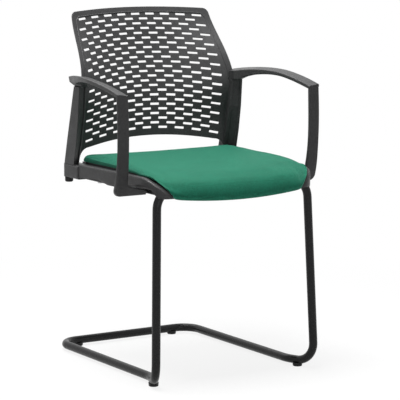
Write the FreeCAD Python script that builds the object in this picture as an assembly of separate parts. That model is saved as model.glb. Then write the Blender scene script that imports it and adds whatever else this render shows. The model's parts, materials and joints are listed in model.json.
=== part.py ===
import FreeCAD, Part
import math
import os

# Cantilever armchair: bent tube sled frame, plastic seat pan with cushion, slotted back, loop arms.
# The floor is Z 0, the front of the chair is -Y and X 0 is its plane of symmetry. Sizes are millimetres.
# Right pieces stand at +X and every left piece is the mirror of its right piece.

# Tube frame
TUBE_DIA = 20.0
TUBE_WALL = 2.5
FLOOR_TUBE_Z = 14.5
REAR_BAR_Y = 265.0
RUNNER_X = 190.0
KINK_Y = -186.0
TOE_X = 219.2
TOE_Y = -256.4
LEG_TOP_X = 205.3
LEG_TOP_Y = -240.0
TOP_TUBE_Z = 459.0
REAR_BEND = 47.0
KINK_BEND = 80.0
TOE_BEND = 46.0
TOP_BEND = 48.0
JOINT_GAP = 1.0
SLEEVE_LENGTH = 70.0

# Floor glides
GLIDE_DIA = 22.5
GLIDE_TOP_DIA = 24.0
GLIDE_HEIGHT = 9.0
GLIDE_EDGE = 1.2
GLIDE_STEM_DIA = 6.0
GLIDE_STEM_TOP = 12.0
FRONT_GLIDE_X = 200.4
FRONT_GLIDE_Y = -214.0
REAR_GLIDE_X = 136.5

# Seat bearers and rear cross member, welded steel
BEARER_INNER = 169.0
BEARER_OUTER = 193.0
BEARER_BOTTOM = 441.0
BEARER_TOP = 457.0
BEARER_REAR_Y = 111.0
BEARER_WALL = 2.0
BEARER_CORNER = 2.5
MEMBER_Y = 40.0
MEMBER_WIDTH = 30.0
MEMBER_THICK = 3.0
PLUG_DEPTH = 12.0
PLUG_FLANGE = 2.5

# Seat pan: half width at the front and, a little wider, at the rear sockets
PAN_HALF = 219.0
PAN_REAR_HALF = 228.0
PAN_TOP = 483.0
PAN_SKIN = 4.0
PAN_REAR_Y = 132.0
PAN_FRONT_Y = -263.0
PAN_CORNER = 43.0
PAN_ROLL_Y = -190.0
PAN_LIP_BOTTOM = 438.0
# Lower edge of the pan's side rail, from the rear to the front lip: depth and height
PAN_SKIRT = (
    (137.0, 447.0),
    (-2.0, 456.0),
    (-48.0, 448.0),
    (-113.0, 448.0),
    (-133.0, 459.0),
    (-198.0, 461.0),
    (-235.0, 457.0),
    (-252.0, 437.0),
)

# Seat screws, their bosses and tee nuts, and the board under the cushion's foam
SEAT_SCREW_X = 181.0
SEAT_SCREW_FRONT_Y = -123.0
SEAT_SCREW_REAR_Y = 67.0
SCREW_DIA = 6.0
SCREW_HEAD_DIA = 11.0
SCREW_HEAD = 4.0
SCREW_CLEARANCE = 0.4
BOSS_DIA = 16.0
BOARD_THICK = 4.0
BOARD_HALF = 198.0
BOARD_FRONT_Y = -142.0
BOARD_REAR_Y = 100.0
BOARD_CORNER = 30.0
TEE_FLANGE_DIA = 17.0
TEE_FLANGE = 1.5
TEE_BARREL_DIA = 8.5

# Cushion: plan, heights of its middle and side crest, and the fall of its rolled front
CUSHION_HALF = 212.0
CUSHION_REAR_Y = 119.0
CUSHION_FRONT_Y = -276.5
CUSHION_CORNER = 62.0
CUSHION_FRONT_BOW = 6.0
CUSHION_REAR_BOW = 8.0
CUSHION_CREST = 503.0
CUSHION_DISH = 4.0
CUSHION_EDGE_TOP = 489.0
CUSHION_LOW_MID = 427.0
CUSHION_LOW_SIDE = 440.0
CUSHION_SLOPE_RUN = 230.0
CUSHION_ROLL_RUN = 45.0
CUSHION_ROLL_DROP = 15.0
CUSHION_FACE_DROP = 50.0
CUSHION_REAR_ROUND = 14.0
CUSHION_TUCK = 22.0
CUSHION_SINK = 4.0
CUSHION_CORNER_DROP = 6.0
CUSHION_REAR_CORNER = 0.3
CUSHION_SIDE_POWER = 12
CUSHION_LOW_POWER = 3
# Shares that place the middle points of the cushion's slope, front roll, keel and rear edge
SLOPE_MID = (0.55, 0.42)
ROLL_MID = (0.2, 2.0)
KEEL_SHARE = 0.3
REAR_EDGE_SHARE = 0.45
REAR_MID = (0.25, 0.8)
# Planes of the cushion's sections, from the middle out
CUSHION_STATIONS = (0.0, 80.0, 150.0, 188.0, 202.0, 208.5, 212.0)

# Back moulding
BACK_SKIN = 3.0
BACK_TOP_MID = 846.0
BACK_TOP_SIDE = 840.0
BACK_TOP_HALF = 191.5
BACK_WAIST_HALF = 213.0
BACK_WAIST_Z = 685.0
BACK_CORNER = 15.0
BACK_WAIST_BEND = 60.0
BACK_FOOT_Z = 487.0
BACK_CUT = 300.0
BACK_LOW_MID = 533.5
BACK_LOW_SIDE = 517.0
BACK_LOW_CORNER = 25.0
BACK_EDGE_START = 175.0
BACK_EDGE_FLAT = 0.0044
RIDGE_INSET = 11.0
RIDGE_WIDTH = 2.0
RIDGE_RAISE = 1.4
# Levels of the curved panel: height, depth of its middle, plan radius
BACK_LEVELS = (
    (480.0, 154.0, 790.0),
    (560.0, 154.3, 548.0),
    (610.0, 154.9, 418.0),
    (645.0, 158.4, 331.0),
    (690.0, 170.4, 284.0),
    (760.0, 191.6, 343.0),
    (860.0, 222.3, 505.0),
)

# Slots of the back: thirteen rows of nine and, half a pitch aside, twelve rows of eight between them
SLOT_ROWS = 13
SLOT_COLUMNS = 9
SLOT_TOP_Z = 827.8
SLOT_BOTTOM_Z = 552.7
SLOT_PITCH_TOP = 40.3
SLOT_PITCH_LOW = 44.4
SLOT_PITCH_EVEN_Z = 700.0
SLOT_LENGTH = 25.0
SLOT_HEIGHT = 5.5
SLOT_CORNER = 1.5
SLOT_CUT = 9.0
ROW_DROOP_TOP = 1.83e-4
ROW_DROOP_LOW = 5.9e-4

# Posts of the back: height, then depth of outer front, inner front and rear edges
POST_INNER = 204.0
POST_OUTER = 230.0
POST_LEVELS = (
    (479.0, 107.2, 129.0, 154.7),
    (540.0, 93.0, 110.0, 139.0),
    (600.0, 83.0, 95.0, 122.5),
    (668.0, 77.0, 87.0, 104.0),
)
POST_REAR_STEP = 3.0
CHANNEL_SIDE = 5.0
CHANNEL_DEPTH = 2.5

# Rear corner sockets, steel cores of the posts and rounded stops under the sockets
SOCKET_FRONT_Y = 87.0
SOCKET_REAR_Y = 159.0
SOCKET_BOTTOM = 446.0
SOCKET_TOP = 479.0
SOCKET_EDGE = 3.0
CORE_DIA = 14.0
CORE_X = 217.0
CORE_Y = 132.0
CORE_LEAN = math.radians(13.2)
CORE_BOTTOM = 453.0
CORE_TOP = 600.0
STOP_DIA = 20.0
STOP_X = 220.0
STOP_Y = 150.0
STOP_BOTTOM = 434.0
STOP_EDGE = 4.0
STOP_STEM_DIA = 8.0
STOP_STEM = 12.0

# Arms
ARM_INNER = 248.0
ARM_OUTER = 276.0
ARM_TILT = 0.16
ARM_FRONT_Y = -187.0
ARM_TURN_Y = -70.0
ARM_END_INNER = 204.0
ARM_END_OUTER = 236.0
ARM_END_FRONT_Y = 77.0
ARM_END_REAR_Y = 119.0
ARM_END_LOW_Y = 101.0
ARM_END_ROOT = 227.0
ARM_END_KNEE = 240.0
ARM_END_RISE = 12.0
ARM_END_TOP = 15.0
ARM_END_BEND = 16.0
ARM_SHOULDER = 22.0
STRAP_EDGE = 2.0
STRAP_LONG_EDGE = 60.0
STRIP_EDGE = 2.5
STRIP_LONG_EDGE = 40.0
STRIP_DEPTH = 80.0
# Top line and underside of the arm on its inner side: depth and height
ARM_TOP_LINE = ((-187.0, 668.0), (-123.0, 682.3), (-63.0, 691.2), (0.0, 696.4), (60.0, 697.0), (119.0, 693.0))
ARM_UNDER_LINE = ((77.0, 668.0), (50.0, 679.0), (10.0, 684.0), (-63.0, 682.0), (-180.0, 661.0))
# Front and rear lines of the arm's strip in side view, from its foot up: depth and height
STRIP_FRONT_LINE = ((-169.0, 438.0), (-179.0, 465.0), (-186.0, 510.0), (-190.0, 590.0), (-187.0, 668.0))
STRIP_REAR_LINE = ((-157.0, 438.0), (-168.0, 465.0), (-179.0, 510.0), (-183.0, 590.0), (-180.0, 668.0))
STRIP_FLARE = 2.5
ARM_FOOT_BOTTOM = 438.0
ARM_FOOT_CORNER = 16.0
ARM_FOOT_TOE = 450.0
ARM_FOOT_HEEL = 463.0
ARM_INSIDE_CORNER = 12.0
ARM_SCREW_Y = -166.0
ARM_SCREW_Z = 445.0
ARM_SCREW_DIA = 5.0
ARM_SCREW_REACH = 32.0
TONGUE_INNER = 211.0
TONGUE_OUTER = 225.0
TONGUE_FRONT_Y = 90.0
TONGUE_REAR_Y = 101.0
TONGUE_BOTTOM = 642.0
TONGUE_SCREW_Z = 655.0
REAR_SCREW_DIA = 4.0
REAR_SCREW_HEAD_DIA = 9.0
REAR_SCREW_HEAD = 3.0
REAR_SCREW_SEAT = 2.0

# Reach of cutting shapes past the solids they cut, and the closeness that picks out an edge
MARGIN = 20.0
PICK = 1.0

V = FreeCAD.Vector
UP = V(0, 0, 1)
ACROSS = V(1, 0, 0)
BACKWARD = V(0, 1, 0)
os.makedirs("parts", exist_ok=True)


# Shared helpers

def save(name, shape):
    shape.exportStep("parts/" + name + ".step")


def mirrored(shape):
    return shape.mirror(V(0, 0, 0), ACROSS)


def save_pair(name, right):
    save(name + "_right", right)
    save(name + "_left", mirrored(right))


def save_group(name, right_solids):
    save(name, Part.Compound(right_solids + [mirrored(solid) for solid in right_solids]))


def box(x0, x1, y0, y1, z0, z1):
    return Part.makeBox(x1 - x0, y1 - y0, z1 - z0, V(x0, y0, z0))


def largest(shape):
    return max(shape.Solids, key=lambda solid: solid.Volume)


def line(a, b):
    return Part.LineSegment(a, b).toShape()


def arc(a, middle, b):
    return Part.Arc(a, middle, b).toShape()


def bezier(*poles):
    curve = Part.BezierCurve()
    curve.setPoles(list(poles))
    return curve.toShape()


def spline(points):
    curve = Part.BSplineCurve()
    curve.interpolate(points)
    return curve.toShape()


def prism(edges, direction):
    return Part.Face(Part.Wire(edges)).extrude(direction)


def rounded_edges(points, radii):
    """Straight runs through the points, with an arc of the given radius at each inner point."""
    edges = []
    start = points[0]
    for before, corner, after, radius in zip(points, points[1:], points[2:], radii):
        to_before = (before - corner).normalize()
        to_after = (after - corner).normalize()
        half = to_before.getAngle(to_after) / 2
        bisector = (to_before + to_after).normalize()
        reach = radius / math.tan(half)
        middle = corner + bisector * (radius / math.sin(half) - radius)
        first = corner + to_before * reach
        last = corner + to_after * reach
        if (first - start).Length > 1e-6:
            edges.append(line(start, first))
        edges.append(arc(first, middle, last))
        start = last
    edges.append(line(start, points[-1]))
    return edges


def edges_along(shape, direction):
    """Straight edges of a shape that run along a direction."""
    return [edge for edge in shape.Edges
            if isinstance(edge.Curve, Part.Line) and abs(edge.Curve.Direction.dot(direction)) > 0.999]


def between(low, high, share):
    return low + (high - low) * share


# Tube frame

def frame_half(diameter):
    """Right half of the tube as a full round bar, from the middle of the rear bar to the joint."""
    points = [
        V(0, REAR_BAR_Y, FLOOR_TUBE_Z),
        V(RUNNER_X, REAR_BAR_Y, FLOOR_TUBE_Z),
        V(RUNNER_X, KINK_Y, FLOOR_TUBE_Z),
        V(TOE_X, TOE_Y, FLOOR_TUBE_Z),
        V(LEG_TOP_X, LEG_TOP_Y, TOP_TUBE_Z),
        V(JOINT_GAP / 2, LEG_TOP_Y, TOP_TUBE_Z),
    ]
    path = Part.Wire(rounded_edges(points, (REAR_BEND, KINK_BEND, TOE_BEND, TOP_BEND)))
    ring = Part.Wire(Part.makeCircle(diameter / 2, points[0], ACROSS))
    return path.makePipeShell([ring], True, False)


def frame_bar(diameter):
    half = frame_half(diameter)
    return half.fuse(mirrored(half)).removeSplitter()


def glide_places():
    return {
        "front_right": V(FRONT_GLIDE_X, FRONT_GLIDE_Y, 0),
        "front_left": V(-FRONT_GLIDE_X, FRONT_GLIDE_Y, 0),
        "rear_right": V(REAR_GLIDE_X, REAR_BAR_Y, 0),
        "rear_left": V(-REAR_GLIDE_X, REAR_BAR_Y, 0),
    }


def tube_frame(bar):
    stems = [Part.makeCylinder(GLIDE_STEM_DIA / 2, FLOOR_TUBE_Z, place) for place in glide_places().values()]
    return bar.cut([frame_bar(TUBE_DIA - 2 * TUBE_WALL)] + stems)


def tube_joint_sleeve():
    start = V(-SLEEVE_LENGTH / 2, LEG_TOP_Y, TOP_TUBE_Z)
    outer = TUBE_DIA / 2 - TUBE_WALL
    tube = Part.makeCylinder(outer, SLEEVE_LENGTH, start, ACROSS)
    return tube.cut(Part.makeCylinder(outer - TUBE_WALL, SLEEVE_LENGTH, start, ACROSS))


def glide(place, bar):
    foot = Part.makeCone(GLIDE_DIA / 2 - GLIDE_EDGE, GLIDE_DIA / 2, GLIDE_EDGE, place)
    body = Part.makeCone(GLIDE_DIA / 2, GLIDE_TOP_DIA / 2, GLIDE_HEIGHT - GLIDE_EDGE, place + UP * GLIDE_EDGE)
    stem = Part.makeCylinder(GLIDE_STEM_DIA / 2, GLIDE_STEM_TOP - GLIDE_EDGE, place + UP * GLIDE_EDGE)
    return foot.fuse(body).cut(bar).fuse(stem).removeSplitter()


# Seat bearers

def bearer_bar(inset, front_y, rear_y):
    bar = box(BEARER_INNER + inset, BEARER_OUTER - inset, front_y, rear_y,
              BEARER_BOTTOM + inset, BEARER_TOP - inset)
    return bar if inset else bar.makeFillet(BEARER_CORNER, edges_along(bar, BACKWARD))


def seat_bearer(bar):
    solid = bearer_bar(0, LEG_TOP_Y, BEARER_REAR_Y)
    bore = bearer_bar(BEARER_WALL, LEG_TOP_Y, BEARER_REAR_Y)
    return largest(solid.cut([bore, bar] + seat_screw_holes() + [arm_screw_hole(), socket_screw_hole()]))


def bearer_plug():
    flange = bearer_bar(0, BEARER_REAR_Y, BEARER_REAR_Y + PLUG_FLANGE)
    body = bearer_bar(BEARER_WALL, BEARER_REAR_Y - PLUG_DEPTH, BEARER_REAR_Y)
    return flange.fuse(body).cut(socket_screw_hole()).removeSplitter()


def rear_cross_member():
    return box(-BEARER_INNER, BEARER_INNER, MEMBER_Y, MEMBER_Y + MEMBER_WIDTH,
               BEARER_BOTTOM + BEARER_CORNER, BEARER_BOTTOM + BEARER_CORNER + MEMBER_THICK)


# Seat pan

def pan_plan(inset):
    """Plan of the pan, drawn in by inset, with a step at each rear corner for the back socket."""
    side = PAN_HALF - inset
    wide = PAN_REAR_HALF - inset
    front = PAN_FRONT_Y + inset
    step = SOCKET_FRONT_Y - inset
    tail = BEARER_OUTER - inset
    rear = PAN_REAR_Y - inset
    right = [V(0, front, 0), V(side, front, 0), V(wide, step, 0)]
    right += [V(tail, step, 0), V(tail, rear, 0), V(0, rear, 0)]
    corner = PAN_CORNER - inset
    half = rounded_edges(right[:3], (corner,))
    half += [line(a, b) for a, b in zip(right[2:], right[3:])]
    half_wire = Part.Wire(half)
    return Part.Face(Part.Wire(half_wire.Edges + mirrored(half_wire).Edges))


def pan_body(inset, bottom):
    """Pan as a filled block: flat top with a rolled front, within the plan."""
    top = PAN_TOP - inset
    front = PAN_FRONT_Y + inset
    centre = V(0, PAN_ROLL_Y, PAN_LIP_BOTTOM)
    roll = Part.Ellipse(V(0, front, PAN_LIP_BOTTOM), V(0, PAN_ROLL_Y, top), centre)
    start = V(0, PAN_ROLL_Y, top)
    lip = V(0, front, PAN_LIP_BOTTOM)
    rear = PAN_REAR_Y - inset
    quarter = Part.ArcOfEllipse(roll, 0, math.pi / 2).toShape()
    loop = [quarter, line(start, V(0, rear, top)), line(V(0, rear, top), V(0, rear, bottom))]
    if bottom < PAN_LIP_BOTTOM:
        loop += [line(V(0, rear, bottom), V(0, front, bottom)), line(V(0, front, bottom), lip)]
    else:
        loop += [line(V(0, rear, bottom), lip)]
    rolled = prism(Part.__sortEdges__(loop), ACROSS * 2 * PAN_REAR_HALF)
    rolled.translate(ACROSS * -PAN_REAR_HALF)
    return rolled.common(pan_plan(inset).extrude(UP * PAN_TOP))


def pan_under_skirt():
    """Everything below the lower edge of the pan's side rails."""
    low = PAN_LIP_BOTTOM - MARGIN
    points = [V(-PAN_REAR_HALF, y, z) for y, z in PAN_SKIRT]
    points = [V(-PAN_REAR_HALF, PAN_SKIRT[0][0], low)] + points + [V(-PAN_REAR_HALF, PAN_SKIRT[-1][0], low)]
    return prism(Part.makePolygon(points + points[:1]).Edges, ACROSS * 2 * PAN_REAR_HALF)


def seat_pan(filled):
    hollow = pan_body(PAN_SKIN, PAN_LIP_BOTTOM - MARGIN)
    height = PAN_TOP - PAN_SKIN - BEARER_TOP
    bosses = [Part.makeCylinder(BOSS_DIA / 2, height, V(x, y, BEARER_TOP))
              for x in (-SEAT_SCREW_X, SEAT_SCREW_X) for y in (SEAT_SCREW_FRONT_Y, SEAT_SCREW_REAR_Y)]
    holes = seat_screw_holes()
    shell = filled.cut([hollow, pan_under_skirt()]).fuse(bosses)
    return shell.cut(holes + [mirrored(hole) for hole in holes])


# Seat screws, tee nuts and board

def seat_screw_places():
    return [V(SEAT_SCREW_X, y, BEARER_BOTTOM) for y in (SEAT_SCREW_FRONT_Y, SEAT_SCREW_REAR_Y)]


def seat_screw_holes():
    radius = (SCREW_DIA + SCREW_CLEARANCE) / 2
    return [Part.makeCylinder(radius, PAN_TOP - BEARER_BOTTOM, place) for place in seat_screw_places()]


def seat_screw(place):
    shank = Part.makeCylinder(SCREW_DIA / 2, PAN_TOP + BOARD_THICK - BEARER_BOTTOM, place)
    head = Part.makeCylinder(SCREW_HEAD_DIA / 2, SCREW_HEAD, place - UP * SCREW_HEAD)
    return shank.fuse(head).removeSplitter()


def tee_nut(place):
    base = V(place.x, place.y, PAN_TOP)
    barrel = Part.makeCylinder(TEE_BARREL_DIA / 2, BOARD_THICK, base)
    flange = Part.makeCylinder(TEE_FLANGE_DIA / 2, TEE_FLANGE, base + UP * BOARD_THICK)
    thread = Part.makeCylinder(SCREW_DIA / 2, BOARD_THICK + TEE_FLANGE, base)
    return barrel.fuse(flange).cut(thread).removeSplitter()


def tee_nut_room(place):
    base = V(place.x, place.y, PAN_TOP)
    barrel = Part.makeCylinder(TEE_BARREL_DIA / 2, BOARD_THICK, base)
    return barrel.fuse(Part.makeCylinder(TEE_FLANGE_DIA / 2, TEE_FLANGE, base + UP * BOARD_THICK))


def seat_board_block():
    block = box(-BOARD_HALF, BOARD_HALF, BOARD_FRONT_Y, BOARD_REAR_Y, PAN_TOP, PAN_TOP + BOARD_THICK)
    return block.makeFillet(BOARD_CORNER, edges_along(block, UP))


def seat_board(block):
    rooms = [tee_nut_room(place) for place in seat_screw_places()]
    return block.cut(rooms + [mirrored(room) for room in rooms])


# Cushion

def cushion_section(x):
    """Side view of the cushion on one plane: underside inside the pan, crowned top, rolled front."""
    share = x / CUSHION_HALF
    inward = max(0.0, x - (CUSHION_HALF - CUSHION_CORNER)) / CUSHION_CORNER
    pull = CUSHION_CORNER * (1 - math.sqrt(1 - inward ** 2))
    front = CUSHION_FRONT_Y + CUSHION_FRONT_BOW * share ** 2 + pull
    rear = CUSHION_REAR_Y - CUSHION_REAR_BOW * share ** 2 - CUSHION_REAR_CORNER * pull
    crest = between(CUSHION_CREST - CUSHION_DISH * (1 - share ** 2), CUSHION_EDGE_TOP,
                    inward ** CUSHION_SIDE_POWER)
    sunk = PAN_TOP - CUSHION_SINK
    low = between(between(CUSHION_LOW_MID, CUSHION_LOW_SIDE, share ** 2), sunk, inward ** CUSHION_LOW_POWER)
    scale = (crest - low) / (CUSHION_CREST - CUSHION_DISH - CUSHION_LOW_MID)
    slope_start = V(x, front + CUSHION_SLOPE_RUN, crest)
    drop = CUSHION_ROLL_DROP * scale
    droop = CUSHION_CORNER_DROP * inward ** 2
    slope_mid = V(x, front + SLOPE_MID[0] * CUSHION_SLOPE_RUN, crest - SLOPE_MID[1] * (drop + droop))
    roll_start = V(x, front + CUSHION_ROLL_RUN, crest - drop - droop)
    roll_mid = V(x, front + ROLL_MID[0] * CUSHION_ROLL_RUN, crest - ROLL_MID[1] * drop - droop)
    chin = V(x, front, crest - CUSHION_FACE_DROP * scale)
    keel = V(x, front + KEEL_SHARE * CUSHION_TUCK, low)
    inner = V(x, front + CUSHION_TUCK, max(low, PAN_LIP_BOTTOM) + CUSHION_SINK)
    rear_foot = V(x, rear, sunk)
    rear_edge = V(x, rear, between(PAN_TOP, crest, REAR_EDGE_SHARE))
    rear_mid = V(x, rear - REAR_MID[0] * CUSHION_REAR_ROUND, between(PAN_TOP, crest, REAR_MID[1]))
    rear_crest = V(x, rear - CUSHION_REAR_ROUND, crest)
    return Part.Wire([
        line(rear_foot, rear_edge),
        arc(rear_edge, rear_mid, rear_crest),
        line(rear_crest, slope_start),
        arc(slope_start, slope_mid, roll_start),
        arc(roll_start, roll_mid, chin),
        line(chin, keel),
        line(keel, inner),
        line(inner, rear_foot),
    ])


def seat_cushion(pan_filled, board_block):
    right = [cushion_section(x) for x in CUSHION_STATIONS]
    left = [mirrored(section) for section in reversed(right[1:])]
    body = Part.makeLoft(left + right, True)
    rooms = [tee_nut_room(place) for place in seat_screw_places()]
    return largest(body.cut([pan_filled, board_block] + rooms + [mirrored(room) for room in rooms]))


# Back moulding

def panel_level(z):
    """Depth of the panel's middle and its plan radius at a height, read between the given levels."""
    for low, high in zip(BACK_LEVELS, BACK_LEVELS[1:]):
        if z <= high[0]:
            share = (z - low[0]) / (high[0] - low[0])
            return between(low[1], high[1], share), between(low[2], high[2], share)
    return BACK_LEVELS[-1][1:]


def panel_depth(x, depth, radius):
    """Depth of the panel's middle surface: a shallow curve that flattens towards its side edges."""
    beyond = max(0.0, abs(x) - BACK_EDGE_START)
    return depth - x ** 2 / (2 * radius) + BACK_EDGE_FLAT * beyond ** 2


def panel_slab(front_offset, rear_offset):
    """Curved sheet between two offsets from the panel's middle surface, wider than the back."""
    places = (BACK_EDGE_START / 2, BACK_EDGE_START, (BACK_EDGE_START + POST_OUTER) / 2, POST_OUTER)
    places = [-x for x in reversed(places)] + [0.0] + list(places)
    sections = []
    for z, depth, radius in BACK_LEVELS:
        front = [V(x, panel_depth(x, depth, radius) + front_offset, z) for x in places]
        rear = [V(x, panel_depth(x, depth, radius) + rear_offset, z) for x in reversed(places)]
        ends = [line(front[-1], rear[0]), line(rear[-1], front[0])]
        sections.append(Part.Wire([spline(front), ends[0], spline(rear), ends[1]]))
    return Part.makeLoft(sections, True)


def back_outline(inset, low_z):
    """Front view of the panel down to low_z, drawn in by inset, as edges in the plane Y 0."""
    top_half = BACK_TOP_HALF - inset
    waist_half = BACK_WAIST_HALF - inset
    top_side = BACK_TOP_SIDE - inset
    right = [V(0, 0, top_side), V(top_half, 0, top_side)]
    right += [V(waist_half, 0, BACK_WAIST_Z), V(waist_half, 0, low_z)]
    side = rounded_edges(right, (BACK_CORNER, BACK_WAIST_BEND))[1:]
    start = side[0].Vertexes[0].Point
    crown = arc(V(-start.x, 0, start.z), V(0, 0, BACK_TOP_MID - inset), start)
    half = Part.Wire(side)
    base = line(right[-1], V(-waist_half, 0, low_z))
    return Part.Wire(Part.__sortEdges__([crown, base] + half.Edges + mirrored(half).Edges))


def back_window(inset, low_z):
    return Part.Face(back_outline(inset, low_z)).extrude(BACKWARD * BACK_CUT)


def below_panel():
    """Space under the panel's lower edge, between the posts."""
    low = SOCKET_BOTTOM
    points = [V(POST_INNER, 0, low), V(POST_INNER, 0, BACK_LOW_SIDE), V(0, 0, BACK_LOW_SIDE)]
    side = rounded_edges(points, (BACK_LOW_CORNER,))[:2]
    end = side[1].Vertexes[1].Point
    crown = arc(end, V(0, 0, BACK_LOW_MID), V(-end.x, 0, end.z))
    base = line(V(-POST_INNER, 0, low), points[0])
    half = Part.Wire(side)
    return prism(Part.__sortEdges__([base, crown] + half.Edges + mirrored(half).Edges), BACKWARD * BACK_CUT)


def slot_frame(x, row_z, droop):
    """Centre and tangent directions of the panel at a slot."""
    z = row_z - droop * x ** 2
    step = 2.0

    def surface(px, pz):
        depth, radius = panel_level(pz)
        return V(px, panel_depth(px, depth, radius), pz)

    ahead = surface(x + step, row_z - droop * (x + step) ** 2)
    behind = surface(x - step, row_z - droop * (x - step) ** 2)
    along = (ahead - behind).normalize()
    upward = surface(x, z + step) - surface(x, z - step)
    normal = along.cross(upward)
    normal.normalize()
    return surface(x, z), along, normal


def slot(x, row_z, droop):
    centre, along, normal = slot_frame(x, row_z, droop)
    upward = normal.cross(along)
    start = centre - normal * SLOT_CUT
    flat = SLOT_LENGTH / 2 - SLOT_CORNER
    rise = SLOT_HEIGHT / 2 - SLOT_CORNER
    corners = []
    for side, level in ((1, 1), (1, -1), (-1, -1), (-1, 1)):
        pivot = start + along * (side * flat) + upward * (level * rise)
        out = along * (side * SLOT_CORNER)
        up = upward * (level * SLOT_CORNER)
        ends = [pivot + up, pivot + out] if side == level else [pivot + out, pivot + up]
        corners.append((ends[0], pivot + (out + up) * math.sqrt(0.5), ends[1]))
    edges = []
    for here, following in zip(corners, corners[1:] + corners[:1]):
        edges.append(arc(*here))
        edges.append(line(here[2], following[0]))
    return prism(edges, normal * 2 * SLOT_CUT)


def slots():
    solids = []
    rows = 2 * SLOT_ROWS - 1
    for row in range(rows):
        share = row / (rows - 1)
        z = between(SLOT_TOP_Z, SLOT_BOTTOM_Z, share)
        droop = between(ROW_DROOP_TOP, ROW_DROOP_LOW, share)
        rise = min(1.0, (SLOT_TOP_Z - z) / (SLOT_TOP_Z - SLOT_PITCH_EVEN_Z))
        pitch = between(SLOT_PITCH_TOP, SLOT_PITCH_LOW, rise * (2 - rise))
        count = SLOT_COLUMNS - row % 2
        solids += [slot((column - (count - 1) / 2) * pitch, z, droop) for column in range(count)]
    return solids


def post():
    sections = []
    for z, outer_front, inner_front, rear in POST_LEVELS:
        corners = [V(POST_OUTER, outer_front, z), V(POST_INNER, inner_front, z),
                   V(POST_INNER, rear - POST_REAR_STEP, z), V(POST_OUTER, rear, z)]
        sections.append(Part.makePolygon(corners + corners[:1]))
    return Part.makeLoft(sections, True, True)


def post_channel():
    """Shallow groove down the front of a post, between two raised edges."""
    sections = []
    for z, outer_front, inner_front, rear in POST_LEVELS:
        slope = (inner_front - outer_front) / (POST_OUTER - POST_INNER)
        outer_y = outer_front + slope * CHANNEL_SIDE
        inner_y = inner_front - slope * CHANNEL_SIDE
        outer_x = POST_OUTER - CHANNEL_SIDE
        inner_x = POST_INNER + CHANNEL_SIDE
        corners = [V(outer_x, outer_y - MARGIN, z), V(inner_x, inner_y - MARGIN, z),
                   V(inner_x, inner_y + CHANNEL_DEPTH, z), V(outer_x, outer_y + CHANNEL_DEPTH, z)]
        sections.append(Part.makePolygon(corners + corners[:1]))
    return Part.makeLoft(sections, True, True)


def tongue():
    return box(TONGUE_INNER, TONGUE_OUTER, TONGUE_FRONT_Y, TONGUE_REAR_Y, TONGUE_BOTTOM, POST_LEVELS[-1][0])


def both_sides(solids):
    return solids + [mirrored(solid) for solid in solids]


def back_shell():
    half = BACK_SKIN / 2
    panel = panel_slab(-half, half).common(back_window(0, BACK_FOOT_Z)).cut(below_panel())
    ridge_low = POST_LEVELS[-1][0]
    ring = back_window(RIDGE_INSET, ridge_low).cut(back_window(RIDGE_INSET + RIDGE_WIDTH, ridge_low - MARGIN))
    ridge = panel_slab(-half - RIDGE_RAISE, 0).common(ring)
    pierced = panel.fuse(ridge).cut(slots())
    posts = both_sides([post().cut([post_channel(), tongue(), core_rod(), rear_screw_hole()])])
    return pierced.cut(both_sides([tongue(), rear_screw_hole(), core_rod()])).fuse(posts)


# Rear corner sockets, cores and stops

def core_direction():
    return V(0, -math.sin(CORE_LEAN), math.cos(CORE_LEAN))


def core_rod():
    along = core_direction()
    start = V(CORE_X, CORE_Y, SOCKET_TOP) + along * ((CORE_BOTTOM - SOCKET_TOP) / along.z)
    return Part.makeCylinder(CORE_DIA / 2, (CORE_TOP - CORE_BOTTOM) / along.z, start, along)


def corner_socket():
    block = box(BEARER_OUTER, POST_OUTER, SOCKET_FRONT_Y, SOCKET_REAR_Y, SOCKET_BOTTOM, SOCKET_TOP)
    outer_edges = [edge for edge in block.Edges if edge.CenterOfMass.x > POST_OUTER - PICK]
    block = block.makeFillet(SOCKET_EDGE, outer_edges)
    return block.cut([core_rod(), stop_stem(), socket_screw_hole()])


def stop_stem():
    return Part.makeCylinder(STOP_STEM_DIA / 2, STOP_STEM, V(STOP_X, STOP_Y, SOCKET_BOTTOM))


def rounded_stop():
    body = Part.makeCylinder(STOP_DIA / 2, SOCKET_BOTTOM - STOP_BOTTOM, V(STOP_X, STOP_Y, STOP_BOTTOM))
    rim = [edge for edge in body.Edges if edge.CenterOfMass.z < STOP_BOTTOM + PICK]
    return body.makeFillet(STOP_EDGE, rim).fuse(stop_stem()).removeSplitter()


def socket_screw_place():
    return (SOCKET_FRONT_Y + BEARER_REAR_Y - PLUG_DEPTH) / 2, (BEARER_BOTTOM + BEARER_TOP) / 2


def socket_screw_hole():
    return across_screw_hole(*socket_screw_place())


def socket_screw():
    return across_screw(*socket_screw_place())


# Screws that run outwards through a bearer

def across_screw_hole(y, z):
    length = BEARER_OUTER - BEARER_INNER + ARM_SCREW_REACH
    return Part.makeCylinder(ARM_SCREW_DIA / 2, length, V(BEARER_INNER, y, z), ACROSS)


def across_screw(y, z):
    head = Part.makeCylinder(SCREW_HEAD_DIA / 2, SCREW_HEAD, V(BEARER_INNER - SCREW_HEAD, y, z), ACROSS)
    length = BEARER_OUTER - BEARER_INNER + ARM_SCREW_REACH - SCREW_HEAD
    shank = Part.makeCylinder(ARM_SCREW_DIA / 2, length, V(BEARER_INNER, y, z), ACROSS)
    return head.fuse(shank).removeSplitter()


def arm_screw_hole():
    return across_screw_hole(ARM_SCREW_Y, ARM_SCREW_Z)


def arm_screw():
    return across_screw(ARM_SCREW_Y, ARM_SCREW_Z)


# Arms

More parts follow.
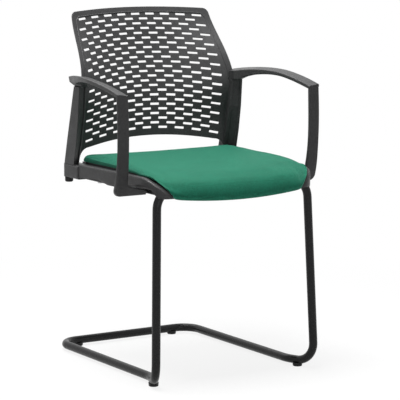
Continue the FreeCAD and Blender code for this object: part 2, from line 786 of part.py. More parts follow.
def arm_side_view():
    """Side view of the arm's top strap on the plane of its inner side."""
    x = ARM_INNER
    top = [V(x, y, z) for y, z in ARM_TOP_LINE]
    under = [V(x, y, z) for y, z in ARM_UNDER_LINE]
    rear_low = V(x, ARM_END_LOW_Y, under[0].z)
    nose = V(x, ARM_FRONT_Y, under[-1].z)
    return [
        spline(top),
        line(top[-1], rear_low),
        line(rear_low, under[0]),
        spline(under),
        line(under[-1], nose),
        line(nose, top[0]),
    ]


def arm_plan():
    """Plan of the arm: straight at the front, drawn in to the post at the rear."""
    bend = (ARM_END_REAR_Y - ARM_TURN_Y) / 3
    outer_front = V(ARM_OUTER, ARM_FRONT_Y, 0)
    outer_turn = V(ARM_OUTER, ARM_TURN_Y, 0)
    outer_end = V(ARM_END_OUTER, ARM_END_REAR_Y, 0)
    inner_end = V(ARM_END_INNER, ARM_END_REAR_Y, 0)
    inner_shoulder = V(ARM_END_INNER, ARM_END_FRONT_Y, 0)
    shoulder_pull = inner_shoulder + V(ARM_SHOULDER, -ARM_SHOULDER, 0)
    inner_turn = V(ARM_INNER, ARM_TURN_Y, 0)
    inner_front = V(ARM_INNER, ARM_FRONT_Y, 0)
    return [
        line(outer_front, outer_turn),
        bezier(outer_turn, outer_turn + BACKWARD * bend, outer_end + V(ARM_END_BEND, -bend, 0), outer_end),
        line(outer_end, inner_end),
        line(inner_end, inner_shoulder),
        bezier(inner_shoulder, shoulder_pull, inner_turn + BACKWARD * bend, inner_turn),
        line(inner_turn, inner_front),
        line(inner_front, outer_front),
    ]


def arm_strap():
    reach = ARM_OUTER - ARM_END_INNER
    side = prism(arm_side_view(), V(2 * reach, 0, 2 * reach * ARM_TILT))
    side.translate(V(-reach, 0, -reach * ARM_TILT))
    seat = POST_LEVELS[-1][0]
    front = ARM_END_FRONT_Y - MARGIN
    under_seat = box(0, ARM_OUTER, front, ARM_END_REAR_Y, 0, seat)
    wedge_line = [V(ARM_END_ROOT, front, seat), V(ARM_END_KNEE, front, seat + ARM_END_RISE),
                  V(ARM_OUTER, front, seat + ARM_END_TOP), V(ARM_OUTER, front, seat)]
    wedge = prism(Part.makePolygon(wedge_line + wedge_line[:1]).Edges, BACKWARD * (ARM_END_REAR_Y - front))
    strap = side.common(prism(arm_plan(), UP * 2 * BACK_TOP_MID)).cut([under_seat, wedge])
    long_edges = [edge for edge in strap.Edges if edge.BoundBox.YLength > STRAP_LONG_EDGE]
    return strap.makeFillet(STRAP_EDGE, long_edges)


def strip_front_view():
    """Front view of the arm's strip and of the foot that turns in to the bearer."""
    y = ARM_FRONT_Y - MARGIN
    top = ARM_TOP_LINE[0][1]
    outer = [V(ARM_OUTER, y, top), V(ARM_OUTER, y, ARM_FOOT_BOTTOM), V(BEARER_OUTER, y, ARM_FOOT_BOTTOM)]
    heel = V(ARM_INNER - STRIP_FLARE, y, ARM_FOOT_HEEL)
    inner = [V(BEARER_OUTER, y, ARM_FOOT_TOE), heel, V(ARM_INNER, y, top)]
    return (rounded_edges(outer, (ARM_FOOT_CORNER,)) + [line(outer[-1], inner[0])]
            + rounded_edges(inner, (ARM_INSIDE_CORNER,)) + [line(inner[-1], outer[0])])


def strip_side_view():
    front = [V(BEARER_OUTER, y, z) for y, z in STRIP_FRONT_LINE]
    rear = [V(BEARER_OUTER, y, z) for y, z in reversed(STRIP_REAR_LINE)]
    return [spline(front), line(front[-1], rear[0]), spline(rear), line(rear[-1], front[0])]


def arm_strip():
    face = prism(strip_front_view(), BACKWARD * STRIP_DEPTH)
    strip = face.common(prism(strip_side_view(), ACROSS * (ARM_OUTER - BEARER_OUTER)))
    top = ARM_TOP_LINE[0][1]
    tall = [edge for edge in strip.Edges
            if edge.BoundBox.ZMax > top - PICK and edge.BoundBox.ZLength > STRIP_LONG_EDGE]
    return strip.makeFillet(STRIP_EDGE, tall)


def arm(others):
    whole = arm_strap().fuse([arm_strip(), tongue()])
    return largest(whole.cut([arm_screw_hole(), rear_screw_hole()] + others))


def rear_screw_line():
    return (TONGUE_INNER + TONGUE_OUTER) / 2, POST_LEVELS[-1][3]


def rear_screw_hole():
    x, rear = rear_screw_line()
    length = rear + MARGIN - TONGUE_FRONT_Y
    return Part.makeCylinder(REAR_SCREW_DIA / 2, length, V(x, TONGUE_FRONT_Y, TONGUE_SCREW_Z), BACKWARD)


def arm_rear_screw():
    x, rear = rear_screw_line()
    seat = rear + REAR_SCREW_SEAT
    length = seat - TONGUE_FRONT_Y
    shank = Part.makeCylinder(REAR_SCREW_DIA / 2, length, V(x, TONGUE_FRONT_Y, TONGUE_SCREW_Z), BACKWARD)
    head = Part.makeCylinder(REAR_SCREW_HEAD_DIA / 2, REAR_SCREW_HEAD, V(x, seat, TONGUE_SCREW_Z), BACKWARD)
    return shank.fuse(head).removeSplitter()


# The whole chair

frame_outside = frame_bar(TUBE_DIA)
save("tube_frame", tube_frame(frame_outside))
save("tube_joint_sleeve", tube_joint_sleeve())
for place_name, place in glide_places().items():
    save("glide_" + place_name, glide(place, frame_outside))
save_pair("seat_bearer", seat_bearer(frame_outside))
save_pair("bearer_plug", bearer_plug())
save("rear_cross_member", rear_cross_member())

pan_filled = pan_body(0, PAN_LIP_BOTTOM)
board_block = seat_board_block()
save("seat_pan", seat_pan(pan_filled))
save("seat_board", seat_board(board_block))
save("seat_cushion", seat_cushion(pan_filled, board_block))
save_group("seat_screws", [seat_screw(place) for place in seat_screw_places()])
save_group("tee_nuts", [tee_nut(place) for place in seat_screw_places()])

back = back_shell()
save("back_shell", back)
save_pair("post_core", core_rod())
save_pair("corner_socket", corner_socket())
save_pair("rounded_stop", rounded_stop())
save_group("socket_screws", [socket_screw()])

save_pair("arm", arm([back, corner_socket()]))
save_group("arm_front_screws", [arm_screw()])
save_group("arm_rear_screws", [arm_rear_screw()])
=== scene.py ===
import json
import math

import bpy
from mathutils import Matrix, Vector

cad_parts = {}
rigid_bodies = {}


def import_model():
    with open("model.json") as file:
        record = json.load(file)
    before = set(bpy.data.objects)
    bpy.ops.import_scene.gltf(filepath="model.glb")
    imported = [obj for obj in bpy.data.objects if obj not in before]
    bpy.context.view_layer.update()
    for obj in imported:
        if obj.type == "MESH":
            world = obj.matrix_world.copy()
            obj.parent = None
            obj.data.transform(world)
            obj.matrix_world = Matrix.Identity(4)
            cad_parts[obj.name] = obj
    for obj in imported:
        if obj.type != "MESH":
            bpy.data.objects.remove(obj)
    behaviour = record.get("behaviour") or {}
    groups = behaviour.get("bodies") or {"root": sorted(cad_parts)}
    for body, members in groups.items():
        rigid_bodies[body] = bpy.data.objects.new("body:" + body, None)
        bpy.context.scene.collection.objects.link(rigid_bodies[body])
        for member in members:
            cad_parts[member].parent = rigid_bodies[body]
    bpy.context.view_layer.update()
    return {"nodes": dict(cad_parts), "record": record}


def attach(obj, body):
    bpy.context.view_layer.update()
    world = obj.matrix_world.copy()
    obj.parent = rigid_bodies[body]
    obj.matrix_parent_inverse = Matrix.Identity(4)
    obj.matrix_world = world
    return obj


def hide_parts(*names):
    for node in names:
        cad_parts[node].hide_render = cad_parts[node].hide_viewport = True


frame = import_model()
nodes = frame["nodes"]

# Camera: eye, viewing direction, lens and how far it sees
EYE = (-2.5408, -4.1804, 1.0911)
AZIMUTH = -31.87
ELEVATION = 8.15
LENS_MM = 184.58
SENSOR_MM = 36.0
VIEW_REACH = 200.0

# Seat pan under the cushion: flat top, start of its rolled front, front edge and height of the front lip
PAN_TOP = 0.483
PAN_ROLL = -0.190
PAN_FRONT = -0.263
PAN_LIP = 0.438

# Cushion in plan: half width, rear and front edges, front corner, bows of the edges, rear corner by share
SEAT_HALF = 0.2115
SEAT_REAR = 0.1185
SEAT_FRONT = -0.2760
SEAT_CORNER = 0.053
SEAT_FRONT_BOW = 0.006
SEAT_REAR_BOW = 0.008
SEAT_REAR_CORNER = 0.38
# Crest: height at the sides, dish of the middle, rise to the rear, height and sharpness of the side edge
SEAT_CREST = 0.5015
SEAT_DISH = 0.004
SEAT_REAR_RISE = 0.0020
SEAT_EDGE_TOP = 0.4965
SEAT_EDGE_POWER = 12
# Rear face: run inwards from the rear edge and share of the height, then run to the crest
REAR_FACE = ((-0.001, 0.4), (0.0035, 0.8))
SEAT_REAR_ROUND = 0.014
# Front: where its fall starts, run from the front edge and drop of each point, drop of the foremost point
SEAT_SLOPE_RUN = 0.230
FRONT_FALL = ((0.135, 0.0030), (0.066, 0.0105), (0.024, 0.0235), (0.0065, 0.0400))
SEAT_FACE_DROP = 0.060
# Extra fall towards the front corners and how far in from the sides it starts
SEAT_CORNER_DROP = 0.0045
SEAT_DROP_REACH = 0.100
# Lowest line of the front: height in the middle and at the sides, set back, then more round the corner
SEAT_LOW_MID = 0.4235
SEAT_LOW_SIDE = 0.4395
SEAT_KEEL_IN = 0.0040
SEAT_CORNER_TUCK = 0.020
SEAT_LOW_POWER = 1.2
# Mesh of the cover: columns from the middle to a side, points along a section, steps between two points
COVER_COLUMNS = 44
COVER_ROWS = 72
CURVE_STEPS = 12
# Underside of the cover above the pan at the side and rear edges and inside them, thinnest section
COVER_LIFT = 0.0054
COVER_LEAST = 0.0012
COVER_THIN = 0.0005
# Width of the edge band, and run along the sides in which the lift falls to a share at the rolled front
EDGE_BAND = 0.030
LIFT_RUN = 0.130
LIFT_FRONT = 0.4
# Near-black band painted in as the shade in the gap under the cover's edge: set in from it, clear of the pan
# and of the cover
SHADE_BAND_INSET = 0.0035
SHADE_BAND_GAP = 0.0002
# Swelling of the cover: pressure, steps, largest moves of a point outwards and inwards, rounds of evening
COVER_PRESSURE = 4.0
COVER_FRAMES = 20
COVER_CAP = 0.0022
COVER_SINK = 0.0003
EVENING_ROUNDS = 14
# Cloth of the cover: mass of a point in kilograms, resistance to stretch and to bending, solver steps
CLOTH_MASS = 0.3
CLOTH_STRETCH = 20.0
CLOTH_BENDING = 4.0
CLOTH_QUALITY = 5

# Rounding of the moulded edges in the mesh, and the softer rounding that they show
PLASTIC_EDGE = 0.0013
SLOT_EDGE = 0.0004
PAN_SHOWN_EDGE = 0.0080
ARM_SHOWN_EDGE = 0.0022
BACK_SHOWN_EDGE = 0.0018
TUBE_SHOWN_EDGE = 0.0012
SMALL_SHOWN_EDGE = 0.0008
SHARP_ANGLE = math.radians(38)

# Finishes: linear colours
PLASTIC_COLOUR = (0.046, 0.046, 0.047, 1.0)
# Pale colours painted on the upward-facing rounded edges as painted highlight; the pan's rim highlight is the
# brightest
PLASTIC_EDGE_HIGHLIGHT = (0.095, 0.095, 0.097, 1.0)
PAN_RIM_HIGHLIGHT = (0.32, 0.32, 0.322, 1.0)
COAT_COLOUR = (0.0055, 0.0055, 0.006, 1.0)
COAT_WORN = (0.03, 0.03, 0.031, 1.0)
GLIDE_COLOUR = (0.008, 0.008, 0.0085, 1.0)
# Near-black colour of the band painted in as the shade under the cover's edge
SHADE_BAND_COLOUR = (0.004, 0.004, 0.004, 1.0)
FABRIC_DARK = (0.003, 0.080, 0.046, 1.0)
FABRIC_LIGHT = (0.008, 0.152, 0.088, 1.0)
# Weave: distance between threads, and what threads, slow drift and flecks each add to the colour
THREAD_PITCH = 0.0013
THREAD_SHARE = 0.4
DRIFT_SHARE = 0.25
FLECK_SHARE = 0.35
STEEL_COLOUR = (0.52, 0.52, 0.53, 1.0)
WOOD_LIGHT = (0.56, 0.41, 0.26, 1.0)
WOOD_DARK = (0.40, 0.27, 0.15, 1.0)
SHEEN_TINT = (0.42, 0.95, 0.76, 1.0)
# Gloss: ranges of roughness and strengths of the plain reflection
PLASTIC_ROUGH = (0.36, 0.46)
COAT_ROUGH = (0.24, 0.34)
STEEL_ROUGH = (0.28, 0.42)
FABRIC_ROUGH = 0.68
WOOD_ROUGH = 0.7
DARK_SHINE = 0.22
FABRIC_SHINE = 0.12
FABRIC_SHEEN = 0.30
SHEEN_ROUGH = 0.45
# Relief: depth of the plastic's grain, the coat's skin, the weave, turning marks and wood grain
GRAIN_DEPTH = 0.0003
SKIN_DEPTH = 0.0004
WEAVE_DEPTH = 0.0005
TURNING_DEPTH = 0.0002
WOOD_DEPTH = 0.0004

# Lights: place, aim, size in metres and power in watts
KEY_LIGHT = ((-0.3, -0.1, 2.2), (-0.1, -0.1, 0.5), 0.9, 56.0)
TOP_LIGHT = ((-0.1, 1.6, 2.9), (0.0, 0.0, 0.5), 2.4, 44.0)
FILL_LIGHT = ((-0.9, -4.4, 1.7), (0.0, 0.0, 0.5), 2.0, 22.0)
WORLD_STRENGTH = 0.11
FLOOR_SIZE = 120.0
FLOOR_FADE = (0.5, 1.5)
FLOOR_GLOW = 0.86
FLOOR_COLOUR = (0.95, 0.95, 0.95, 1.0)
WHITE = (1.0, 1.0, 1.0, 1.0)


# Node helpers

class Shader:
    """A material under construction: nodes are added by type, with sockets set by name or as i0, i1, i2."""

    def __init__(self, name):
        self.material = bpy.data.materials.new(name)
        self.material.use_nodes = True
        self.tree = self.material.node_tree
        self.tree.nodes.clear()

    def add(self, kind, settings=None, **sockets):
        node = self.tree.nodes.new("ShaderNode" + kind)
        for key, value in (settings or {}).items():
            setattr(node, key, value)
        for key, value in sockets.items():
            socket = node.inputs[int(key[1:])] if key[0] == "i" and key[1:].isdigit() else node.inputs[key]
            self.feed(socket, value)
        return node

    def feed(self, socket, value):
        if isinstance(value, bpy.types.NodeSocket):
            self.tree.links.new(value, socket)
        else:
            socket.default_value = value

    def math(self, operation, first, second=0.0):
        return self.add("Math", {"operation": operation}, i0=first, i1=second).outputs[0]

    def mix(self, share, first, second):
        node = self.add("Mix", {"data_type": "RGBA"})
        self.feed(node.inputs[0], share)
        self.feed(node.inputs[6], first)
        self.feed(node.inputs[7], second)
        return node.outputs[2]

    def spread(self, value, low, high, to_low, to_high):
        node = self.add("MapRange", {}, i0=value, i1=low, i2=high, i3=to_low, i4=to_high)
        return node.outputs[0]

    def noise(self, scale, detail=2.0):
        place = self.add("TexCoord").outputs["Object"]
        node = self.add("TexNoise", {}, Vector=place, Scale=scale, Detail=detail)
        return node.outputs["Fac"]

    def clouds(self, scale, detail, margin, low, high):
        """Noise stretched so that all but a margin at each end runs from low to high."""
        return self.spread(self.noise(scale, detail), margin, 1.0 - margin, low, high)

    def bump(self, height, strength, distance):
        return self.add("Bump", {}, Strength=strength, Distance=distance, Height=height)

    def rounded(self, radius):
        """Surface direction with the edges rounded to a radius."""
        return self.add("Bevel", {"samples": 6}, Radius=radius).outputs[0]

    def edge_mask(self, soft):
        """Near 1 along edges, 0 on flat stretches, from the rounded surface direction."""
        true = self.add("NewGeometry").outputs["Normal"]
        dot = self.add("VectorMath", {"operation": "DOT_PRODUCT"}, i0=soft, i1=true).outputs["Value"]
        return self.spread(dot, 0.99, 0.80, 0.0, 1.0)

    def finish(self, surface):
        output = self.add("OutputMaterial")
        self.tree.links.new(surface.outputs[0], output.inputs[0])
        return self.material


# Materials

def shaded(colour, share):
    return tuple(share * value for value in colour[:3]) + (1.0,)


def moulded_plastic(name, colour, highlight_colour, edge):
    """Dark moulded plastic with a fine grain, slight cloudiness and a painted highlight on the rounded upper
    edges.
    """
    s = Shader(name)
    soft = s.rounded(edge)
    cloud = s.clouds(9.0, 3.0, 0.3, 0.0, 0.5)
    mottle = s.clouds(230.0, 3.0, 0.35, 0.0, 0.5)
    base = s.mix(s.math("ADD", cloud, mottle), shaded(colour, 0.6), colour)
    # Painted highlight: rounded edges that face upwards, broken up by noise, are mixed towards the highlight
    # colour as if lit from above
    upwards = s.spread(s.add("SeparateXYZ", {}, Vector=soft).outputs["Z"], 0.1, 0.5, 0.0, 1.0)
    pale_edges = s.math("MULTIPLY", s.edge_mask(soft), s.clouds(420.0, 2.0, 0.35, 0.25, 0.8))
    pale_edges = s.math("MULTIPLY", pale_edges, upwards)
    grain = s.bump(s.noise(1900.0, 3.0), 0.35, GRAIN_DEPTH)
    s.feed(grain.inputs["Normal"], soft)
    surface = s.add("BsdfPrincipled", {}, **{
        "Base Color": s.mix(pale_edges, base, highlight_colour),
        "Roughness": s.clouds(35.0, 2.0, 0.3, *PLASTIC_ROUGH),
        "Specular IOR Level": DARK_SHINE,
        "Normal": grain.outputs[0],
    })
    return s.finish(surface)


def powder_coat():
    """Black powder coat: satin, with a fine orange-peel skin and slightly paler edges."""
    s = Shader("frame_paint")
    base = s.mix(s.clouds(14.0, 3.0, 0.3, 0.0, 1.0), shaded(COAT_COLOUR, 0.8), COAT_COLOUR)
    pale_edges = s.math("MULTIPLY", s.edge_mask(s.rounded(TUBE_SHOWN_EDGE)), 0.6)
    surface = s.add("BsdfPrincipled", {}, **{
        "Base Color": s.mix(pale_edges, base, COAT_WORN),
        "Roughness": s.clouds(60.0, 2.0, 0.3, *COAT_ROUGH),
        "Specular IOR Level": DARK_SHINE,
        "Normal": s.bump(s.noise(700.0), 0.3, SKIN_DEPTH).outputs[0],
    })
    return s.finish(surface)


def woven_fabric():
    """Green upholstery: over and under threads, soft sheen and slight colour drift between threads."""
    s = Shader("seat_fabric")
    place = s.add("SeparateXYZ", {}, Vector=s.add("TexCoord").outputs["Object"])
    across = place.outputs["X"]
    down = s.math("SUBTRACT", place.outputs["Y"], place.outputs["Z"])
    turns = math.pi / THREAD_PITCH
    warp_phase = s.math("MULTIPLY", across, turns)
    weft_phase = s.math("MULTIPLY", down, turns)
    warp = s.math("ABSOLUTE", s.math("SINE", warp_phase))
    weft = s.math("ABSOLUTE", s.math("SINE", weft_phase))
    crossing = s.math("MULTIPLY", s.math("SINE", warp_phase), s.math("SINE", weft_phase))
    over = s.spread(crossing, -0.15, 0.15, 0.0, 1.0)
    woven = s.add("Mix", {"data_type": "FLOAT"})
    s.feed(woven.inputs[0], over)
    s.feed(woven.inputs[2], warp)
    s.feed(woven.inputs[3], weft)
    threads = woven.outputs[0]
    fibre = s.noise(2600.0, 3.0)
    drift = s.clouds(22.0, 4.0, 0.3, 0.0, 1.0)
    fleck = s.clouds(240.0, 3.0, 0.36, 0.0, 1.0)
    share = s.math("MULTIPLY", threads, THREAD_SHARE)
    share = s.math("ADD", share, s.math("MULTIPLY", drift, DRIFT_SHARE))
    share = s.math("ADD", share, s.math("MULTIPLY", fleck, FLECK_SHARE))
    height = s.math("ADD", threads, s.math("MULTIPLY", fibre, 0.35))
    surface = s.add("BsdfPrincipled", {}, **{
        "Base Color": s.mix(share, FABRIC_DARK, FABRIC_LIGHT),
        "Roughness": FABRIC_ROUGH,
        "Specular IOR Level": FABRIC_SHINE,
        "Sheen Weight": FABRIC_SHEEN,
        "Sheen Roughness": SHEEN_ROUGH,
        "Sheen Tint": SHEEN_TINT,
        "Normal": s.bump(height, 0.5, WEAVE_DEPTH).outputs[0],
    })
    return s.finish(surface)


def zinc_steel():
    """Zinc plated fasteners and rods, with fine turning marks."""
    s = Shader("steel")
    surface = s.add("BsdfPrincipled", {}, **{
        "Base Color": s.mix(s.noise(60.0), STEEL_COLOUR, shaded(STEEL_COLOUR, 0.8)),
        "Metallic": 1.0,
        "Roughness": s.clouds(120.0, 2.0, 0.3, *STEEL_ROUGH),
        "Normal": s.bump(s.noise(900.0), 0.2, TURNING_DEPTH).outputs[0],
    })
    return s.finish(surface)


def plywood():
    """Raw board with long grain across the seat."""
    s = Shader("board_wood")
    place = s.add("TexCoord").outputs["Object"]
    long_grain = s.add("Mapping", {}, Vector=place, Scale=(3.0, 60.0, 60.0)).outputs[0]
    rings = s.add("TexNoise", {}, Vector=long_grain, Scale=4.0, Detail=5.0).outputs["Fac"]
    surface = s.add("BsdfPrincipled", {}, **{
        "Base Color": s.mix(rings, WOOD_DARK, WOOD_LIGHT),
        "Roughness": WOOD_ROUGH,
        "Normal": s.bump(rings, 0.3, WOOD_DEPTH).outputs[0],
    })
    return s.finish(surface)


def materials():
    return {
        "frame_paint": powder_coat(),
        "steel": zinc_steel(),
        "glide_plastic": moulded_plastic("glide_plastic", GLIDE_COLOUR, PLASTIC_COLOUR, SMALL_SHOWN_EDGE),
        "pan_plastic": moulded_plastic("pan_plastic", PLASTIC_COLOUR, PAN_RIM_HIGHLIGHT, PAN_SHOWN_EDGE),
        "back_plastic": moulded_plastic("back_plastic", PLASTIC_COLOUR, PLASTIC_EDGE_HIGHLIGHT, BACK_SHOWN_EDGE),
        "arm_plastic": moulded_plastic("arm_plastic", PLASTIC_COLOUR, PLASTIC_EDGE_HIGHLIGHT, ARM_SHOWN_EDGE),
        "board_wood": plywood(),
        "seat_fabric": woven_fabric(),
        "shade_band": moulded_plastic("shade_band", SHADE_BAND_COLOUR, GLIDE_COLOUR, SMALL_SHOWN_EDGE),
    }


# Pieces

def dress(obj, material):
    obj.data.materials.clear()
    obj.data.materials.append(material)


def soften_edges(obj, width):
    """Small rounding of the sharp edges, so that they catch the light."""
    bevel = obj.modifiers.new("edge_rounding", "BEVEL")
    bevel.width = width
    bevel.segments = 2
    bevel.limit_method = "ANGLE"
    bevel.angle_limit = SHARP_ANGLE
    bevel.use_clamp_overlap = True
    bevel.harden_normals = False


def dress_cad_nodes(finishes):
    for entry in frame["record"]["subparts"]:
        dress(nodes[entry["node"]], finishes[entry["material_slot"]])


def apply_modifiers(obj):
    graph = bpy.context.evaluated_depsgraph_get()
    mesh = bpy.data.meshes.new_from_object(obj.evaluated_get(graph))
    obj.modifiers.clear()
    obj.data = mesh


def between(low, high, share):
    return low + (high - low) * share


def pan_height(y):
    """Height of the pan's upper side: flat, then rolled down to the front lip."""
    if y >= PAN_ROLL:
        return PAN_TOP
    share = min(1.0, (PAN_ROLL - y) / (PAN_ROLL - PAN_FRONT))
    return PAN_LIP + (PAN_TOP - PAN_LIP) * math.sqrt(1.0 - share ** 2)


def edge_lift(x, y):
    """Height of the cover's underside above the pan: more along the rear and the rear part of the sides."""
    full = between(LIFT_FRONT, 1.0, min(1.0, max(0.0, (y - PAN_ROLL) / LIFT_RUN)))
    side = full * (abs(x) - (SEAT_HALF - EDGE_BAND)) / EDGE_BAND
    rear = (y - (SEAT_REAR - EDGE_BAND)) / EDGE_BAND
    return between(COVER_LEAST, COVER_LIFT, min(1.0, max(0.0, side, rear)))


def smooth_line(points, count):
    """Evenly spaced points on a smooth curve through the given points."""
    ends = [points[0] * 2 - points[1]] + points + [points[-1] * 2 - points[-2]]
    dense = []
    for a, b, c, d in zip(ends, ends[1:], ends[2:], ends[3:]):
        for step in range(CURVE_STEPS):
            t = step / CURVE_STEPS
            bend = (2 * a - 5 * b + 4 * c - d) * t ** 2 + (3 * b - 3 * c + d - a) * t ** 3
            dense.append(b + ((c - a) * t + bend) / 2)
    dense.append(points[-1])
    lengths = [0.0]
    for a, b in zip(dense, dense[1:]):
        lengths.append(lengths[-1] + (b - a).length)
    line = []
    place = 0
    for number in range(count):
        target = lengths[-1] * number / (count - 1)
        while place < len(dense) - 2 and lengths[place + 1] < target:
            place += 1
        span = lengths[place + 1] - lengths[place]
        line.append(dense[place].lerp(dense[place + 1], (target - lengths[place]) / span))
    return line


def seat_edges(x):
    """Front and rear edge of the cushion in plan, and how far x is into the rounded corner, 0 to 1."""
    share = x / SEAT_HALF
    inward = max(0.0, x - (SEAT_HALF - SEAT_CORNER)) / SEAT_CORNER
    pull = SEAT_CORNER * (1.0 - math.sqrt(max(0.0, 1.0 - inward ** 2)))
    front = SEAT_FRONT + SEAT_FRONT_BOW * share ** 2 + pull
    rear = SEAT_REAR - SEAT_REAR_BOW * share ** 2 - SEAT_REAR_CORNER * pull
    return front, rear, inward


def cover_section(x):
    """Upper side of the cushion on one plane, from its rear edge over the crown to the front keel."""
    front, rear, inward = seat_edges(x)
    share = x / SEAT_HALF
    crest = between(SEAT_CREST - SEAT_DISH * (1 - share ** 2), SEAT_EDGE_TOP, inward ** SEAT_EDGE_POWER)
    keel = front + SEAT_KEEL_IN + SEAT_CORNER_TUCK * inward ** 2
    floor_z = pan_height(keel) + edge_lift(x, keel)
    low = between(between(SEAT_LOW_MID, SEAT_LOW_SIDE, share ** 2), floor_z, inward ** SEAT_LOW_POWER)
    scale = (crest - low) / (SEAT_CREST - SEAT_DISH - SEAT_LOW_MID)
    droop = SEAT_CORNER_DROP * max(0.0, 1.0 - (SEAT_HALF - x) / SEAT_DROP_REACH) ** 2
    foot = PAN_TOP + edge_lift(x, SEAT_REAR)
    points = [(rear, foot)]
    for run, height in REAR_FACE:
        points.append((rear - run, between(foot, crest, height)))
    rear_top = rear - SEAT_REAR_ROUND
    slope_top = front + SEAT_SLOPE_RUN
    points += [
        (rear_top, crest + SEAT_REAR_RISE),
        ((rear_top + slope_top) / 2, crest + SEAT_REAR_RISE / 2),
        (slope_top, crest),
    ]
    for run, fall in FRONT_FALL:
        points.append((front + run, crest - fall * scale - droop * fall / FRONT_FALL[1][1]))
    points += [(front, crest - SEAT_FACE_DROP * scale), (keel, low)]
    line = smooth_line([Vector((x, y, z)) for y, z in points], COVER_ROWS)
    for point in line:
        if point.y > PAN_FRONT:
            point.z = max(point.z, pan_height(point.y) + edge_lift(x, point.y) + COVER_LEAST)
    return line


def cover_underside(x, upper):
    """Lower side of the cushion on one plane, just clear of the pan, as many points as the upper side."""
    rear, keel = upper[0], upper[-1]
    line = []
    for number in range(COVER_ROWS):
        y = between(rear.y, keel.y, number / (COVER_ROWS - 1))
        line.append(Vector((x, y, min(pan_height(y) + edge_lift(x, y), upper[number].z - COVER_THIN))))
    line[0] = rear
    line[-1] = keel
    return line


def seat_columns(half):
    """Places across the seat, closer together towards the sides."""
    right = [half * math.sin(math.pi / 2 * n / COVER_COLUMNS) for n in range(COVER_COLUMNS + 1)]
    return [-x for x in reversed(right[1:])] + right


def slab_mesh(name, uppers, lowers):
    """Closed mesh between upper and lower lines that share their first and last points."""
    rows = len(uppers[0])
    ring = 2 * rows - 2
    vertices = []
    for upper, lower in zip(uppers, lowers):
        vertices += upper + list(reversed(lower[1:-1]))
    faces = []
    for column in range(len(uppers) - 1):
        here = column * ring
        after = here + ring
        for row in range(ring):
            following = (row + 1) % ring
            faces.append((here + following, after + following, after + row, here + row))
    for base, turn in ((0, False), ((len(uppers) - 1) * ring, True)):
        for row in range(rows - 1):
            below = (ring - row) % ring
            below_next = ring - row - 1
            loop = [base + row, base + row + 1, base + below_next, base + below]
            loop = list(dict.fromkeys(loop))
            if len(loop) > 2:
                faces.append(tuple(loop) if turn else tuple(reversed(loop)))
    mesh = bpy.data.meshes.new(name)
    mesh.from_pydata([tuple(v) for v in vertices], [], faces)
    mesh.validate()
    mesh.update()
    return mesh


def add_piece(name, mesh, material, smooth):
    obj = bpy.data.objects.new(name, mesh)
    bpy.context.scene.collection.objects.link(obj)
    for polygon in mesh.polygons:
        polygon.use_smooth = smooth
    dress(obj, material)
    return obj


def evened(mesh, values, held):
    """Values of the free points averaged with their neighbours, a few times over."""
    pairs = [tuple(edge.vertices) for edge in mesh.edges]
    for _ in range(EVENING_ROUNDS):
        sums = [0.0] * len(values)
        counts = [0] * len(values)
        for a, b in pairs:
            sums[a] += values[b]
            sums[b] += values[a]
            counts[a] += 1
            counts[b] += 1
        values = [value if n in held else (value + sums[n] / counts[n]) / 2 for n, value in enumerate(values)]
    return values


def swell(obj, held):
    """Fills the cover: cloth under pressure with the resting side held, each point's move capped."""
    before = [(vertex.co.copy(), vertex.normal.copy()) for vertex in obj.data.vertices]
    group = obj.vertex_groups.new(name="held")
    group.add(held, 1.0, "REPLACE")
    cloth = obj.modifiers.new("cover", "CLOTH")
    cloth.settings.quality = CLOTH_QUALITY
    cloth.settings.mass = CLOTH_MASS
    cloth.settings.tension_stiffness = CLOTH_STRETCH
    cloth.settings.compression_stiffness = CLOTH_STRETCH
    cloth.settings.bending_stiffness = CLOTH_BENDING
    cloth.settings.vertex_group_mass = "held"
    cloth.settings.use_pressure = True
    cloth.settings.uniform_pressure_force = COVER_PRESSURE
    cloth.settings.effector_weights.gravity = 0.0
    cloth.point_cache.frame_start = 1
    cloth.point_cache.frame_end = COVER_FRAMES
    for number in range(1, COVER_FRAMES + 1):
        bpy.context.scene.frame_set(number)
    apply_modifiers(obj)
    bpy.context.scene.frame_set(1)
    pushes = []
    for vertex, (start, outwards) in zip(obj.data.vertices, before):
        pushes.append(max(-COVER_SINK, min(COVER_CAP, (vertex.co - start).dot(outwards))))
    pushes = evened(obj.data, pushes, set(held))
    for vertex, (start, outwards), push in zip(obj.data.vertices, before, pushes):
        vertex.co = start + outwards * push


def cushion(material):
    columns = seat_columns(SEAT_HALF)
    uppers = [cover_section(abs(x)) for x in columns]
    for x, upper in zip(columns, uppers):
        for point in upper:
            point.x = x
    lowers = [cover_underside(x, upper) for x, upper in zip(columns, uppers)]
    mesh = slab_mesh("cushion_cover", uppers, lowers)
    obj = add_piece("cushion_cover", mesh, material, smooth=True)
    ring = 2 * COVER_ROWS - 2
    held = [n for n in range(len(obj.data.vertices)) if n % ring >= COVER_ROWS - 1 or n % ring == 0]
    swell(obj, held)
    finer = obj.modifiers.new("finer", "SUBSURF")
    finer.levels = 1
    finer.render_levels = 1
    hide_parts("seat_cushion")
    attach(obj, "root")


def cushion_lining(material):
    """Near-black band under the cushion's edge, painted shade for the gap there, set in a little from the
    cover and lying on the pan.
    """
    columns = seat_columns(SEAT_HALF - SHADE_BAND_INSET)
    uppers = []
    lowers = []
    for x in columns:
        front, rear, inward = seat_edges(abs(x) + SHADE_BAND_INSET)
        first = front + SHADE_BAND_INSET + SEAT_KEEL_IN + SEAT_CORNER_TUCK * inward ** 2
        ys = [between(rear - SHADE_BAND_INSET, first, n / (COVER_ROWS - 1)) for n in range(COVER_ROWS)]
        lower = [Vector((x, y, pan_height(y) + SHADE_BAND_GAP)) for y in ys]
        upper = [Vector((x, y, pan_height(y) + edge_lift(x, y) - SHADE_BAND_GAP)) for y in ys]
        uppers.append([lower[0]] + upper + [lower[-1]])
        lowers.append([lower[0]] + lower + [lower[-1]])
    mesh = slab_mesh("cushion_lining", uppers, lowers)
    obj = add_piece("cushion_lining", mesh, material, smooth=False)
    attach(obj, "root")


# Stage

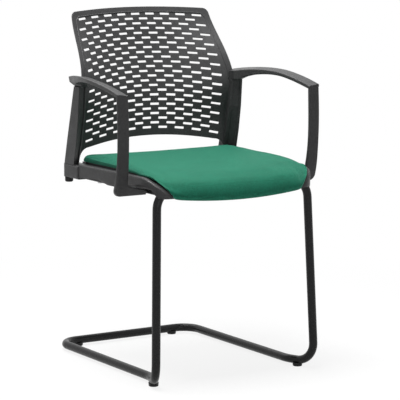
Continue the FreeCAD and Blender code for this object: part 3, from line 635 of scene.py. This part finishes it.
def floor():
    """White floor that keeps the chair's shadow and fades to plain white away from it."""
    half = FLOOR_SIZE / 2
    mesh = bpy.data.meshes.new("floor")
    corners = [(-half, -half, 0.0), (half, -half, 0.0), (half, half, 0.0), (-half, half, 0.0)]
    mesh.from_pydata(corners, [], [(0, 1, 2, 3)])
    obj = bpy.data.objects.new("floor", mesh)
    bpy.context.scene.collection.objects.link(obj)
    s = Shader("floor_white")
    place = s.add("TexCoord").outputs["Object"]
    reach = s.add("VectorMath", {"operation": "LENGTH"}, i0=place).outputs["Value"]
    fade = s.spread(reach, FLOOR_FADE[0], FLOOR_FADE[1], FLOOR_GLOW, 1.0)
    path = s.add("LightPath").outputs
    mirrored = s.math("MAXIMUM", path["Is Glossy Ray"], path["Is Transmission Ray"])
    plain = s.math("MULTIPLY", fade, s.math("MAXIMUM", path["Is Camera Ray"], mirrored))
    matt = s.add("BsdfDiffuse", {}, Color=FLOOR_COLOUR)
    white = s.add("Emission", {}, Color=WHITE, Strength=1.0)
    blend = s.add("MixShader", {}, i0=plain, i1=matt.outputs[0], i2=white.outputs[0])
    dress(obj, s.finish(blend))


def world():
    """Plain white surroundings, seen at full white and lighting softly."""
    surroundings = bpy.data.worlds.new("studio")
    surroundings.use_nodes = True
    tree = surroundings.node_tree
    tree.nodes.clear()
    path = tree.nodes.new("ShaderNodeLightPath")
    seen = path.outputs["Is Camera Ray"]
    for ray in ("Is Glossy Ray", "Is Transmission Ray"):
        either = tree.nodes.new("ShaderNodeMath")
        either.operation = "MAXIMUM"
        tree.links.new(seen, either.inputs[0])
        tree.links.new(path.outputs[ray], either.inputs[1])
        seen = either.outputs[0]
    strength = tree.nodes.new("ShaderNodeMapRange")
    strength.inputs[3].default_value = WORLD_STRENGTH
    strength.inputs[4].default_value = 1.0
    tree.links.new(seen, strength.inputs[0])
    background = tree.nodes.new("ShaderNodeBackground")
    background.inputs[0].default_value = WHITE
    tree.links.new(strength.outputs[0], background.inputs[1])
    output = tree.nodes.new("ShaderNodeOutputWorld")
    tree.links.new(background.outputs[0], output.inputs[0])
    bpy.context.scene.world = surroundings


def soft_light(name, place, aim, size, power):
    lamp = bpy.data.lights.new(name, "AREA")
    lamp.shape = "SQUARE"
    lamp.size = size
    lamp.energy = power
    obj = bpy.data.objects.new(name, lamp)
    obj.location = place
    obj.rotation_euler = (Vector(aim) - Vector(place)).to_track_quat("-Z", "Y").to_euler()
    bpy.context.scene.collection.objects.link(obj)


def camera():
    lens = bpy.data.cameras.new("camera")
    lens.lens = LENS_MM
    lens.sensor_fit = "HORIZONTAL"
    lens.sensor_width = SENSOR_MM
    lens.clip_end = VIEW_REACH
    obj = bpy.data.objects.new("camera", lens)
    obj.location = EYE
    obj.rotation_euler = (math.radians(90.0 - ELEVATION), 0.0, math.radians(AZIMUTH))
    bpy.context.scene.collection.objects.link(obj)
    bpy.context.scene.camera = obj


# The whole scene

for stray in [o for o in bpy.data.objects if o.name in ("Cube", "Light", "Camera")]:
    bpy.data.objects.remove(stray)
finishes = materials()
dress_cad_nodes(finishes)
for name in ("seat_pan", "corner_socket_right", "corner_socket_left", "arm_right", "arm_left"):
    soften_edges(nodes[name], PLASTIC_EDGE)
soften_edges(nodes["back_shell"], SLOT_EDGE)
cushion(finishes["seat_fabric"])
cushion_lining(finishes["shade_band"])
floor()
world()
soft_light("key", *KEY_LIGHT)
soft_light("top", *TOP_LIGHT)
soft_light("fill", *FILL_LIGHT)
camera()
bpy.context.scene.view_settings.view_transform = "Standard"
